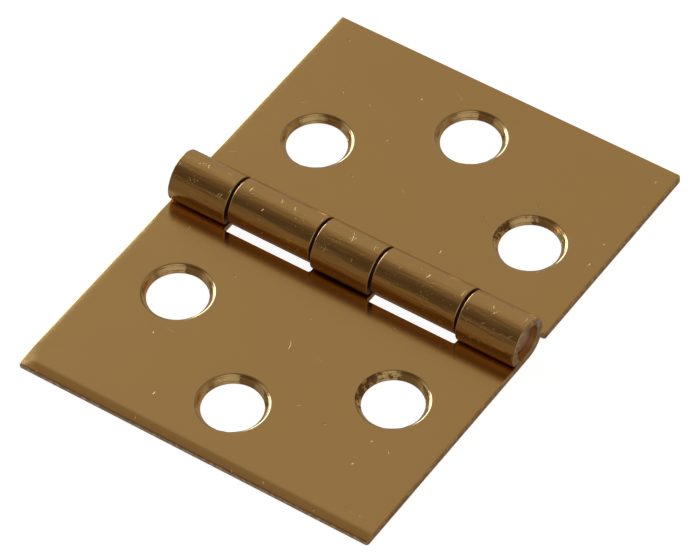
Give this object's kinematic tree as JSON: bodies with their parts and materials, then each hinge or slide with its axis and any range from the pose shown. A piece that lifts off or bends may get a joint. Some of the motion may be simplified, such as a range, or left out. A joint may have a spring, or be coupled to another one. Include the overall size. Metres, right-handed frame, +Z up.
{
  "type": "door hinge",
  "caption": "Small brass butt hinge with flat rectangular leaves, rolled knuckles on a plain pin and countersunk screw holes, open flat.",
  "frame": {"origin": "under the pin's axis and midway along it, on the plane of the leaves' back faces", "axes": "+X along the pin, +Y across the open leaves towards the rear leaf, +Z up from the back faces towards the barrel"},
  "size_m": [0.0382, 0.052, 0.0047],
  "materials": {
    "front_leaf_brass": "polished, lightly handled",
    "rear_leaf_brass": "polished, lightly handled",
    "pin_metal": "cut and staked end, dull"
  },
  "bodies": {
    "fixed_leaf": {"front_leaf": "front_leaf_brass", "hinge_pin": "pin_metal"},
    "swinging_leaf": {"rear_leaf": "rear_leaf_brass"}
  },
  "joints": [
    {"name": "leaf_swing", "type": "hinge", "parent": "fixed_leaf", "child": "swinging_leaf", "pos_m": [0, 0, 0.00235], "axis": [1, 0, 0], "range_deg": [-90, 180]}
  ]
}
